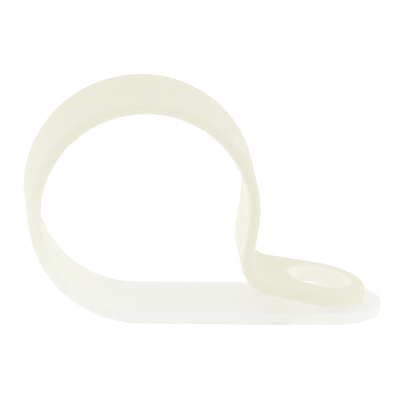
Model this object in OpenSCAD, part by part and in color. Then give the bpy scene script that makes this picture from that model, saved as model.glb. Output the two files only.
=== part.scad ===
// P clip: a strap clamp for a cable or a bundle, moulded in one piece of natural nylon.
// The flat leg lies on the panel. The strap runs on round the cable, leans in under it,
// bends back and ends in a screw tab that hangs over the leg. One screw through the holes
// in both ends pulls the tab down and closes the loop.

/* [Strap] */
// Width of the strap, along the cable
strap_w = 9.5; // [8:0.1:14]
// Thickness of the leg, the loop and the neck
strap_t = 1.2; // [1:0.05:1.4]
// Rounding of the long edges on the outer side of the strap
edge_r = 0.5; // [0.2:0.05:0.7]

/* [Loop] */
// Diameter of the cable or bundle that the loop holds
cable_d = 19.1; // [13:0.1:32]
// Angle by which the neck leans in under the cable
neck_lean = 8.2; // [0:0.2:16]

/* [Tab] */
// Thickness of the tab at its screw hole
tab_t = 1.45; // [1.45:0.05:2]
// Length of the tab, from the bend to its tip
tab_l = 9; // [8.2:0.1:14]
// Angle by which the top of the open tab falls towards its tip
tab_slope = 8.5; // [2:0.5:16]
// Radius of the bend between the neck and the tab, on its hollow side
bend_r = 2.3; // [1:0.1:4]
// Gap between the tip of the open tab and the leg
tip_gap = 0.25; // [0.2:0.05:3]
// Length of the leg that shows past the tip of the open tab
leg_overhang = 1.5; // [0:0.1:6]

/* [Screw holes] */
// Diameter of the hole in each end
screw_d = 5.2; // [3:0.1:6]
// Distance from the tip of each end to the middle of its hole
hole_inset = 4.4; // [4:0.1:6]
// Rounding of the lip round the hole in the tab
lip_r = 0.35; // [0.1:0.05:0.6]

/* [Hidden] */
$fn = 96;
nylon = [0.93, 0.92, 0.86];
// Length by which the neck reaches into the curves at its ends, and how much slimmer it is
reach = 0.1;
hair = 0.01;
// Length by which a cutter stands past the face it cuts
over = 0.1;

cable_r = cable_d / 2;
loop_r = cable_r + strap_t;
screw_r = screw_d / 2;
end_r = strap_w / 2;

// The gap under the tip sets the height of the tab over the panel, and so the length of
// the neck. The leg reaches past the tab's tip. Its length is from under the loop's middle.
tab_root_y = strap_t + tip_gap + tab_t * cos(tab_slope) + tab_l * sin(tab_slope);
bend_y = tab_root_y + bend_r * cos(tab_slope);
neck_l = (loop_r - bend_y - (loop_r + bend_r) * sin(neck_lean)) / cos(neck_lean);
bend_x = (loop_r + bend_r) * cos(neck_lean) - neck_l * sin(neck_lean);
leg_l = bend_x - bend_r * sin(tab_slope) + tab_l * cos(tab_slope) + leg_overhang;

// Cross-section of the strap: x is the depth below its outer side, y runs across it
module section(t, w = strap_w) {
    core_w = w - 2 * edge_r;
    translate([edge_r, -w / 2]) square([t - edge_r, w]);
    translate([0, -core_w / 2]) square([t, core_w]);
    for (side = [-1, 1])
        translate([edge_r, side * core_w / 2]) circle(edge_r);
}

// Straight stretch along x, with its outer side on top at y = 0
module straight(l, t, w = strap_w) {
    rotate([0, 90, 0]) linear_extrude(l) rotate(-90) section(t, w);
}

// Half-round end at the far end of such a stretch
module round_end(t) {
    rotate([-90, 0, 0]) rotate(-90) rotate_extrude(angle = 180)
        intersection() {
            rotate(-90) section(t);
            translate([0, -t]) square([strap_w, t]);
        }
}

// Flat leg on the panel and the loop round the cable, about the middle of the loop
module leg_and_loop() {
    straight_l = leg_l - end_r;
    translate([0, -loop_r]) mirror([0, 1]) {
        straight(straight_l, strap_t);
        translate([straight_l, 0]) round_end(strap_t);
    }
    rotate(-90) rotate_extrude(angle = -270 - neck_lean)
        translate([loop_r, 0]) mirror([1, 0]) section(strap_t);
}

// Neck, which hangs from the loop and leans in under the cable. It reaches into the loop
// and the bend, and is slimmer than they are by a hair to lie inside them.
module neck() {
    rotate(-neck_lean) translate([loop_r - hair, reach]) rotate(-90)
        straight(neck_l + 2 * reach, strap_t - 2 * hair, strap_w - 2 * hair);
}

// Bend and screw tab, about the middle of the bend and with the tab along x. The strap's
// outer side lies in the hollow of the bend. The tab's underside falls away from the bend
// until the tab has its full thickness.
module bend_and_tab() {
    straight_l = tab_l - end_r;
    rotate(-90) rotate_extrude(angle = tab_slope - neck_lean - 90)
        translate([bend_r, 0]) section(strap_t);
    translate([0, -bend_r]) {
        difference() {
            straight(straight_l, tab_t);
            linear_extrude(2 * strap_w, center = true)
                polygon([[-over, -strap_t], [0, -strap_t], [straight_l, -tab_t],
                         [straight_l, -tab_t - over], [-over, -tab_t - over]]);
        }
        translate([straight_l, 0]) round_end(tab_t);
    }
}

// Cutter for a screw hole down through a stretch whose top is at y = 0
module screw_hole(t) {
    rotate([90, 0, 0]) translate([0, 0, -over]) cylinder(r = screw_r, h = t + 2 * over);
}

// Cutter that rounds the lip at the top of such a hole
module lip() {
    rotate([-90, 0, 0]) rotate_extrude() difference() {
        translate([screw_r - over, -lip_r]) square([lip_r + over, lip_r + over]);
        translate([screw_r + lip_r, -lip_r]) circle(lip_r);
    }
}

// The clip stood up on the panel, with the middle of the leg's hole at the origin
module clip_strap() {
    color(nylon) translate([hole_inset - leg_l, 0, loop_r]) rotate([90, 0, 0]) {
        difference() {
            leg_and_loop();
            translate([leg_l - hole_inset, strap_t - loop_r]) screw_hole(strap_t);
        }
        neck();
        translate([bend_x, bend_y - loop_r]) rotate(-tab_slope) difference() {
            bend_and_tab();
            translate([tab_l - hole_inset, -bend_r]) {
                screw_hole(tab_t);
                lip();
            }
        }
    }
}

clip_strap();
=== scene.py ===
"""P clip in natural nylon: one strap moulded as a flat leg, a loop for a cable and a screw tab over the leg."""
import bmesh
import bpy
import numpy as np
from mathutils import Matrix, Vector


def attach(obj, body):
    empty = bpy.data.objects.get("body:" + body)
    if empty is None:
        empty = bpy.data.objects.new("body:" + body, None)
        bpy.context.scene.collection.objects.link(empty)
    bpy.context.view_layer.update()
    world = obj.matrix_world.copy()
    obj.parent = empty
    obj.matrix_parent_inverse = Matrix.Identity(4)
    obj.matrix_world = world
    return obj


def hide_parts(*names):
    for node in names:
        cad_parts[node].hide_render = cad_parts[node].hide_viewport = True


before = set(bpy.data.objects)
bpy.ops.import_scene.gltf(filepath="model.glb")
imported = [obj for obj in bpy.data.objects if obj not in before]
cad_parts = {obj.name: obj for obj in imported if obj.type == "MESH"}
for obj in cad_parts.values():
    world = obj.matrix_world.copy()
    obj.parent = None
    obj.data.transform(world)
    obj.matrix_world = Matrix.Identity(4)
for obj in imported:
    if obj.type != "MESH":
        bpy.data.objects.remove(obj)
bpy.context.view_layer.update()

# ---------------------------------------------------------------------------
# Strap: the whole clip, one moulding in natural nylon. A flat strap with round ends is bent along its side
# view into leg, loop, neck, bend and tab, and one screw through the holes in both ends holds it to a panel.
# ---------------------------------------------------------------------------
MM = 0.001
WIDTH = 9.5
THICK = 1.2          # leg, loop and neck
TAB_THICK = 1.45     # the tab at its hole
LOOP_R = 10.75       # outer radius of the loop
BEND_R = 2.3         # hollow radius of the bend
TAB_L = 9.0          # tab from the bend to its tip
GAP = 0.06           # least room between the tab and the leg
OVERHANG = 1.5       # leg past the tab's tip
HOLE_R = 2.6
INSET = 4.4          # each tip to the middle of its hole
OUTER = 0.5          # rounding of the outer long edges
INNER = 0.13         # rounding of the edges on the cable side
FOOT = 0.06          # rounding of each hole's lower rim
LEG_LIP = 0.08       # rounding of the upper rim of the leg's hole
TAB_LIP = 0.3        # rounding of the upper rim of the tab's hole
RING_L = 8.2         # length of each end that is a ring of profiles round its hole
lean = np.radians(8.2)     # of the neck, inwards
slope = np.radians(8.5)    # of the tab, falling to its tip

root_z = THICK + GAP + TAB_THICK * np.cos(slope) + TAB_L * np.sin(slope)
bend_z = root_z + BEND_R * np.cos(slope)
neck_l = (LOOP_R - bend_z - (LOOP_R + BEND_R) * np.sin(lean)) / np.cos(lean)
bend_x = (LOOP_R + BEND_R) * np.cos(lean) - neck_l * np.sin(lean)
leg_l = bend_x - BEND_R * np.sin(slope) + TAB_L * np.cos(slope) + OVERHANG
loop_l = LOOP_R * (1.5 * np.pi + lean)
bend_l = BEND_R * (0.5 * np.pi + lean - slope)
LEG, LOOP, NECK, BEND, TAB, TIP = range(6)
stops = np.cumsum([0, leg_l, loop_l, neck_l, bend_l, TAB_L])     # where each stretch starts, and the tip


def bent(s, y, d):
    """Point of the bent strap in metres: s along the outer side from the leg's tip, y across, d below it. The
    side view is a line, an arc of LOOP_R, a line, an arc of BEND_R the other way, and a line. A line runs on
    from its start along the heading, and an arc stands its radius off its middle, square to the heading."""
    s, y, d = np.broadcast_arrays(s, y, d)
    part = np.clip(np.searchsorted(stops, s, side="right") - 1, LEG, TAB)
    u = s - stops[part]
    neck_heading = -0.5 * np.pi - lean
    heading = np.choose(part, [np.pi, np.pi - u / LOOP_R, neck_heading, neck_heading + u / BEND_R, -slope])
    ahead = np.stack([np.cos(heading), np.sin(heading)], -1)
    left = np.stack([-np.sin(heading), np.cos(heading)], -1)
    loop_mid = np.array([0, LOOP_R])
    bend_mid = np.array([bend_x, bend_z])
    neck_start = loop_mid + LOOP_R * np.array([np.cos(lean), -np.sin(lean)])
    tab_start = bend_mid - BEND_R * np.array([np.sin(slope), np.cos(slope)])
    start = np.array([[leg_l, 0], loop_mid, neck_start, bend_mid, tab_start])[part]
    along = np.choose(part, [u, 0, u, 0, u])
    radius = np.choose(part, [0, LOOP_R, 0, -BEND_R, 0])
    p = start + along[..., None] * ahead + (radius - d)[..., None] * left
    return np.stack([p[..., 0] - (leg_l - INSET), y, p[..., 1]], -1) * MM


def ease(x, low, high):
    """Smooth step, 3 k^2 - 2 k^3, from 0 at low to 1 at high."""
    k = np.clip((x - low) / (high - low), 0, 1)
    return k * k * (3 - 2 * k)


def thickness(s):
    """THICK up to the bend's end, then an even ramp to TAB_THICK over the tab's straight sides."""
    return THICK + (TAB_THICK - THICK) * np.clip((s - stops[TAB]) / (TAB_L - WIDTH / 2), 0, 1)


def quarter(n):
    """n angles from 0 to 90 degrees, for a rounded edge."""
    return np.radians(np.linspace(0, 90, n))


def outline(inset):
    """One end in the flat, drawn in by inset, and the way out at each point. q runs inwards from the tip and y
    across: a line across at RING_L, a straight side, a half circle about q = WIDTH / 2, and the other side."""
    half = WIDTH / 2 - inset
    side = np.linspace(RING_L, WIDTH / 2, 9)[1:]
    turn = np.radians(np.linspace(90, 270, 57))[1:-1]
    ones = np.ones(len(side))
    q = np.concatenate([np.full(len(across), RING_L), side, WIDTH / 2 + half * np.cos(turn), side[::-1]])
    y = np.concatenate([across * half, half * ones, half * np.sin(turn), -half * ones])
    out_q = np.concatenate([0 * across, 0 * ones, np.cos(turn), 0 * ones])
    out_y = np.concatenate([0 * across, ones, np.sin(turn), -ones])
    out_y[0], out_y[len(across) - 1] = -1, 1
    return np.stack([q, y], -1), np.stack([out_q, out_y], -1)


def end_ring(to_s, lip):
    """Profiles about one hole: up the hole's wall from its foot, over the lip, across the top, down the edge
    and back under. Rows go along a profile and columns round the hole. Gives (q, y) and depth at each point,
    and the first and last row that are left open where the strap goes on. to_s turns q into s."""
    def row(k):
        return np.asarray(k)[:, None, None]

    top, out = outline(OUTER)
    low, _ = outline(INNER)
    hole = np.array([INSET, 0])
    ray = (top - hole) / np.linalg.norm(top - hole, axis=1, keepdims=True)
    low_ray = (low - hole) / np.linalg.norm(low - hole, axis=1, keepdims=True)
    low_depth = thickness(to_s(low[:, 0]))
    wall_depth = thickness(to_s(INSET + HOLE_R * low_ray[:, 0]))
    rise, lip_turn, edge_turn = quarter(5), quarter(10), quarter(10)[1:]
    up = np.array([0.35, 0.7])
    fall = np.array([0.3, 0.7])
    spread = np.array([0.03, 0.12, 0.3, 0.5, 0.7, 0.88, 0.97, 1])
    rim = hole + (HOLE_R + lip) * ray
    low_rim = hole + (HOLE_R + FOOT) * low_ray
    under = low + (low_rim - low) * row(spread[:-1])
    flat = [
        hole + (HOLE_R + FOOT * (1 - np.sin(row(rise)))) * low_ray,
        hole + HOLE_R * (low_ray * (1 - row(up)) + ray * row(up)),
        hole + (HOLE_R + lip * (1 - np.cos(row(lip_turn)))) * ray,
        rim + (top - rim) * row(spread),
        top + OUTER * np.sin(row(edge_turn)) * out,
        low + INNER * out + 0 * row(fall),
        low + INNER * np.sin(row(rise[::-1])) * out,
        under]
    depth = [
        wall_depth - FOOT * (1 - np.cos(rise[:, None])),
        (wall_depth - FOOT) * (1 - up[:, None]) + lip * up[:, None],
        lip * (1 - np.sin(lip_turn[:, None])) + 0 * wall_depth,
        0 * spread[:, None] + 0 * wall_depth,
        OUTER * (1 - np.cos(edge_turn[:, None])) + 0 * wall_depth,
        OUTER + (low_depth - INNER - OUTER) * fall[:, None],
        low_depth - INNER * (1 - np.cos(rise[::-1][:, None])),
        thickness(to_s(under[..., 0]))]
    cut_first = sum(len(rows) for rows in flat[:4]) - 1
    cut_last = sum(len(rows) for rows in flat[:7]) - 1
    return np.concatenate(flat), np.concatenate(depth), cut_first, cut_last


def net(n_row, n_col):
    """Corners of the faces of a grid of points that closes on itself both ways, as [row, column, corner]."""
    i, j = np.indices((n_row, n_col))
    i2, j2 = (i + 1) % n_row, (j + 1) % n_col
    return np.stack([i * n_col + j, i2 * n_col + j, i2 * n_col + j2, i * n_col + j2], -1)


RIM_PAINTED_LIGHT = 0.6       # the same share of painted light at a hole's wall
NECK_PAINTED_LIGHT = 0.5      # and of painted light on the inner face where the loop comes down to the neck
WELD = 2e-7          # m, grid on which points that meet are one


def leg_painted_light(s):
    """Share of painted light, for the white round the clip shining through: 1 on the leg, fading to 0 up the
    loop's side.
    """
    return 1 - ease(s, 22, 50)


# The two ends
across = np.concatenate([[-1, -0.985, -0.94], np.linspace(-0.85, 0.85, 15), [0.94, 0.985, 1]])
points, faces, painted_light = [], [], []
count = 0
for to_s, lip in ((lambda q: q, LEG_LIP), (lambda q: stops[TIP] - q, TAB_LIP)):
    flat, depth, cut_first, cut_last = end_ring(to_s, lip)
    s = to_s(flat[..., 0])
    points.append(bent(s, flat[..., 1], depth).reshape(-1, 3))
    # Painted light at each hole's wall, fading out within 0.7 mm of the hole
    near_wall = 1 - ease(np.linalg.norm(flat - [INSET, 0], axis=-1), HOLE_R + 0.05, HOLE_R + 0.7)
    painted_light.append(np.maximum(leg_painted_light(s), RIM_PAINTED_LIGHT * near_wall).ravel())
    i, j = np.indices(depth.shape)
    left_out = (j < len(across) - 1) & (i >= cut_first) & (i < cut_last)
    faces.append(net(*depth.shape)[~left_out] + count)
    count += depth.size

# The strip between them, one closed section at each station: y, depth from the top, share of the thickness
top_half, low_half = WIDTH / 2 - OUTER, WIDTH / 2 - INNER
outer_turn, inner_turn = quarter(10)[1:], quarter(5)[::-1]
fall = np.array([0.3, 0.7])
top = np.stack([across * top_half, 0 * across, 0 * across], -1)
edge = np.concatenate([
    np.stack([top_half + OUTER * np.sin(outer_turn), OUTER * (1 - np.cos(outer_turn)), 0 * outer_turn], -1),
    np.stack([WIDTH / 2 + 0 * fall, OUTER - (INNER + OUTER) * fall, fall], -1),
    np.stack([low_half + INNER * np.sin(inner_turn), INNER * (np.cos(inner_turn) - 1), 1 + 0 * inner_turn], -1)])
under = np.stack([across[::-1] * low_half, 0 * across, 1 + 0 * across], -1)[1:]
section = np.concatenate([top, edge, under, edge[::-1][1:] * [-1, 1, 1]])
stations = np.concatenate([
    np.linspace(RING_L, stops[LOOP], 20)[:-1], np.linspace(stops[LOOP], stops[NECK], 161)[:-1],
    np.linspace(stops[NECK], stops[BEND], 7)[:-1], np.linspace(stops[BEND], stops[TAB], 45)[:-1],
    np.linspace(stops[TAB], stops[TIP] - RING_L, 4)])
s = stations[:, None]
y, depth, share = section.T
points.append(bent(s, y, depth + share * thickness(s)).reshape(-1, 3))
faces.append(net(len(stations), len(section))[:-1].reshape(-1, 4) + count)
# Painted light on the inner face from the loop's end through the neck, fading out at the bend
inner_painted_light = ease(s, stops[NECK] - 14, stops[NECK] - 4) * (1 - ease(s, stops[BEND] - 0.5, stops[BEND] + 2))
painted_light.append(np.maximum(leg_painted_light(s), inner_painted_light * np.where(share == 1, NECK_PAINTED_LIGHT, 0)).ravel())

# Weld the ends to the strip, and turn every face outwards
points = np.concatenate(points)
faces = np.concatenate(faces)
_, first, welded = np.unique(np.round(points / WELD).astype(np.int64), axis=0, return_index=True,
                             return_inverse=True)
mesh = bpy.data.meshes.new("strap")
mesh.from_pydata(points[first].tolist(), [], welded.ravel()[faces].tolist())
mesh.attributes.new("painted_light", "FLOAT", "POINT").data.foreach_set("value", np.concatenate(painted_light)[first])
bm = bmesh.new()
bm.from_mesh(mesh)
bmesh.ops.remove_doubles(bm, verts=bm.verts, dist=2 * WELD)
bmesh.ops.recalc_face_normals(bm, faces=bm.faces)
bm.to_mesh(mesh)
bm.free()
mesh.shade_smooth()
strap = bpy.data.objects.new("strap", mesh)
bpy.context.scene.collection.objects.link(strap)
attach(strap, "root")
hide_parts("clip_strap")


def any_ray(tree, *kinds):
    """Socket that is 1 for a ray of any of these kinds and 0 for the others: the largest of their flags."""
    path = tree.nodes.new("ShaderNodeLightPath")
    flag = path.outputs[kinds[0]]
    for kind in kinds[1:]:
        largest = tree.nodes.new("ShaderNodeMath")
        largest.operation = "MAXIMUM"
        tree.links.new(flag, largest.inputs[0])
        tree.links.new(path.outputs[kind], largest.inputs[1])
        flag = largest.outputs[0]
    return flag


# Natural nylon: cream, satin, and milky enough for light to spread under its skin
nylon = bpy.data.materials.new("natural nylon")
nylon.use_nodes = True
tree = nylon.node_tree
skin = tree.nodes["Principled BSDF"]
skin.inputs["Roughness"].default_value = 0.5
skin.inputs["IOR"].default_value = 1.45
skin.inputs["Subsurface Weight"].default_value = 0.8
skin.inputs["Subsurface Radius"].default_value = (1.0, 1.0, 1.0)
skin.inputs["Subsurface Scale"].default_value = 0.0015
# The cream body is mixed towards a paler colour by a share of painted light kept on each point: painted light on
# the leg, at the holes' walls and on the inner face at the neck.
where = tree.nodes.new("ShaderNodeAttribute")
where.attribute_name = "painted_light"
tint = tree.nodes.new("ShaderNodeMix")
tint.data_type = "RGBA"
tint.inputs[6].default_value = (0.835, 0.815, 0.690, 1)     # A, the cream body
tint.inputs[7].default_value = (0.985, 0.978, 0.882, 1)     # B, painted light: paler where the white round the clip shines through
tree.links.new(where.outputs["Fac"], tint.inputs[0])
tree.links.new(tint.outputs[2], skin.inputs["Base Color"])
# part of the light round the strap passes straight through it, so it throws little shadow on itself
passing = tree.nodes.new("ShaderNodeMath")
passing.operation = "MULTIPLY"
passing.inputs[1].default_value = 0.85
clear = tree.nodes.new("ShaderNodeBsdfTransparent")
blend = tree.nodes.new("ShaderNodeMixShader")
tree.links.new(any_ray(tree, "Is Shadow Ray", "Is Diffuse Ray"), passing.inputs[0])
tree.links.new(passing.outputs[0], blend.inputs[0])
tree.links.new(skin.outputs[0], blend.inputs[1])
tree.links.new(clear.outputs[0], blend.inputs[2])
tree.links.new(blend.outputs[0], tree.nodes["Material Output"].inputs["Surface"])
strap.data.materials.append(nylon)

# ---------------------------------------------------------------------------
# Floor: white paper, just under the clip. It glows a little, more for the rays that show it, and its matt
# share takes the clip's shadow.
# ---------------------------------------------------------------------------
bpy.ops.mesh.primitive_plane_add(size=6, location=(0, 0, -0.00002))
floor = bpy.context.object
floor.name = "floor"
paper = bpy.data.materials.new("white paper")
paper.use_nodes = True
tree = paper.node_tree
tree.nodes.clear()
level = tree.nodes.new("ShaderNodeMapRange")
level.inputs["To Min"].default_value = 0.69
level.inputs["To Max"].default_value = 0.82
matt = tree.nodes.new("ShaderNodeBsdfDiffuse")
matt.inputs["Color"].default_value = (0.25, 0.25, 0.25, 1)
glow = tree.nodes.new("ShaderNodeEmission")
both = tree.nodes.new("ShaderNodeAddShader")
output = tree.nodes.new("ShaderNodeOutputMaterial")
tree.links.new(any_ray(tree, "Is Camera Ray", "Is Glossy Ray", "Is Transmission Ray"), level.inputs["Value"])
tree.links.new(level.outputs[0], glow.inputs["Strength"])
tree.links.new(matt.outputs[0], both.inputs[0])
tree.links.new(glow.outputs[0], both.inputs[1])
tree.links.new(both.outputs[0], output.inputs[0])
floor.data.materials.append(paper)

# ---------------------------------------------------------------------------
# Light: an even room that shows as plain white, and three weak soft lamps, overhead and at either side.
# ---------------------------------------------------------------------------
world = bpy.data.worlds.new("studio")
bpy.context.scene.world = world
world.use_nodes = True
tree = world.node_tree
tree.nodes.clear()
room = tree.nodes.new("ShaderNodeBackground")
room.inputs["Color"].default_value = (1, 1, 1, 1)
room.inputs["Strength"].default_value = 0.83
white = tree.nodes.new("ShaderNodeBackground")
white.inputs["Color"].default_value = (1, 1, 1, 1)
white.inputs["Strength"].default_value = 1.0
choose = tree.nodes.new("ShaderNodeMixShader")
output = tree.nodes.new("ShaderNodeOutputWorld")
tree.links.new(any_ray(tree, "Is Camera Ray", "Is Glossy Ray", "Is Transmission Ray"), choose.inputs[0])
tree.links.new(room.outputs[0], choose.inputs[1])
tree.links.new(white.outputs[0], choose.inputs[2])
tree.links.new(choose.outputs[0], output.inputs[0])

clip_middle = Vector((-0.010, 0, 0.010))
for name, place, size, watts in (
        ("overhead", (-0.01, 0.02, 0.40), 0.40, 0.10),
        ("left", (-0.40, -0.06, 0.06), 0.30, 0.12),
        ("right", (0.38, -0.04, 0.06), 0.30, 0.12)):
    lamp = bpy.data.lights.new(name, "AREA")
    lamp.size = size
    lamp.energy = watts
    stand = bpy.data.objects.new(name, lamp)
    stand.location = place
    stand.rotation_euler = (clip_middle - Vector(place)).to_track_quat("-Z", "Y").to_euler()
    bpy.context.scene.collection.objects.link(stand)

# ---------------------------------------------------------------------------
# Camera: a long lens from the front, a little to the left and above. Back, right and up are its own
# directions, turned by its roll, and it looks at a point a little to the right of the loop's middle.
# ---------------------------------------------------------------------------
DISTANCE = 793.1
azimuth, elevation, roll = np.radians((-4.082, 17.44, 1.778))
back = np.array([np.sin(azimuth) * np.cos(elevation), -np.cos(azimuth) * np.cos(elevation), np.sin(elevation)])
level_right = np.array([np.cos(azimuth), np.sin(azimuth), 0])
level_up = np.cross(back, level_right)
right = np.cos(roll) * level_right + np.sin(roll) * level_up
up = np.cos(roll) * level_up - np.sin(roll) * level_right
aim = np.array([5 - (leg_l - INSET), 0, 10]) + 0.4417 * right + 0.626 * up
place = (aim + DISTANCE * back) * MM
lens = bpy.data.cameras.new("camera")
lens.sensor_width = 36
lens.lens = 770.9
lens.clip_start = 0.05
lens.clip_end = 20
camera = bpy.data.objects.new("camera", lens)
camera.matrix_world = Matrix([[right[i], up[i], back[i], place[i]] for i in range(3)] + [[0, 0, 0, 1]])
bpy.context.scene.collection.objects.link(camera)
bpy.context.scene.camera = camera
bpy.context.scene.view_settings.view_transform = "Standard"
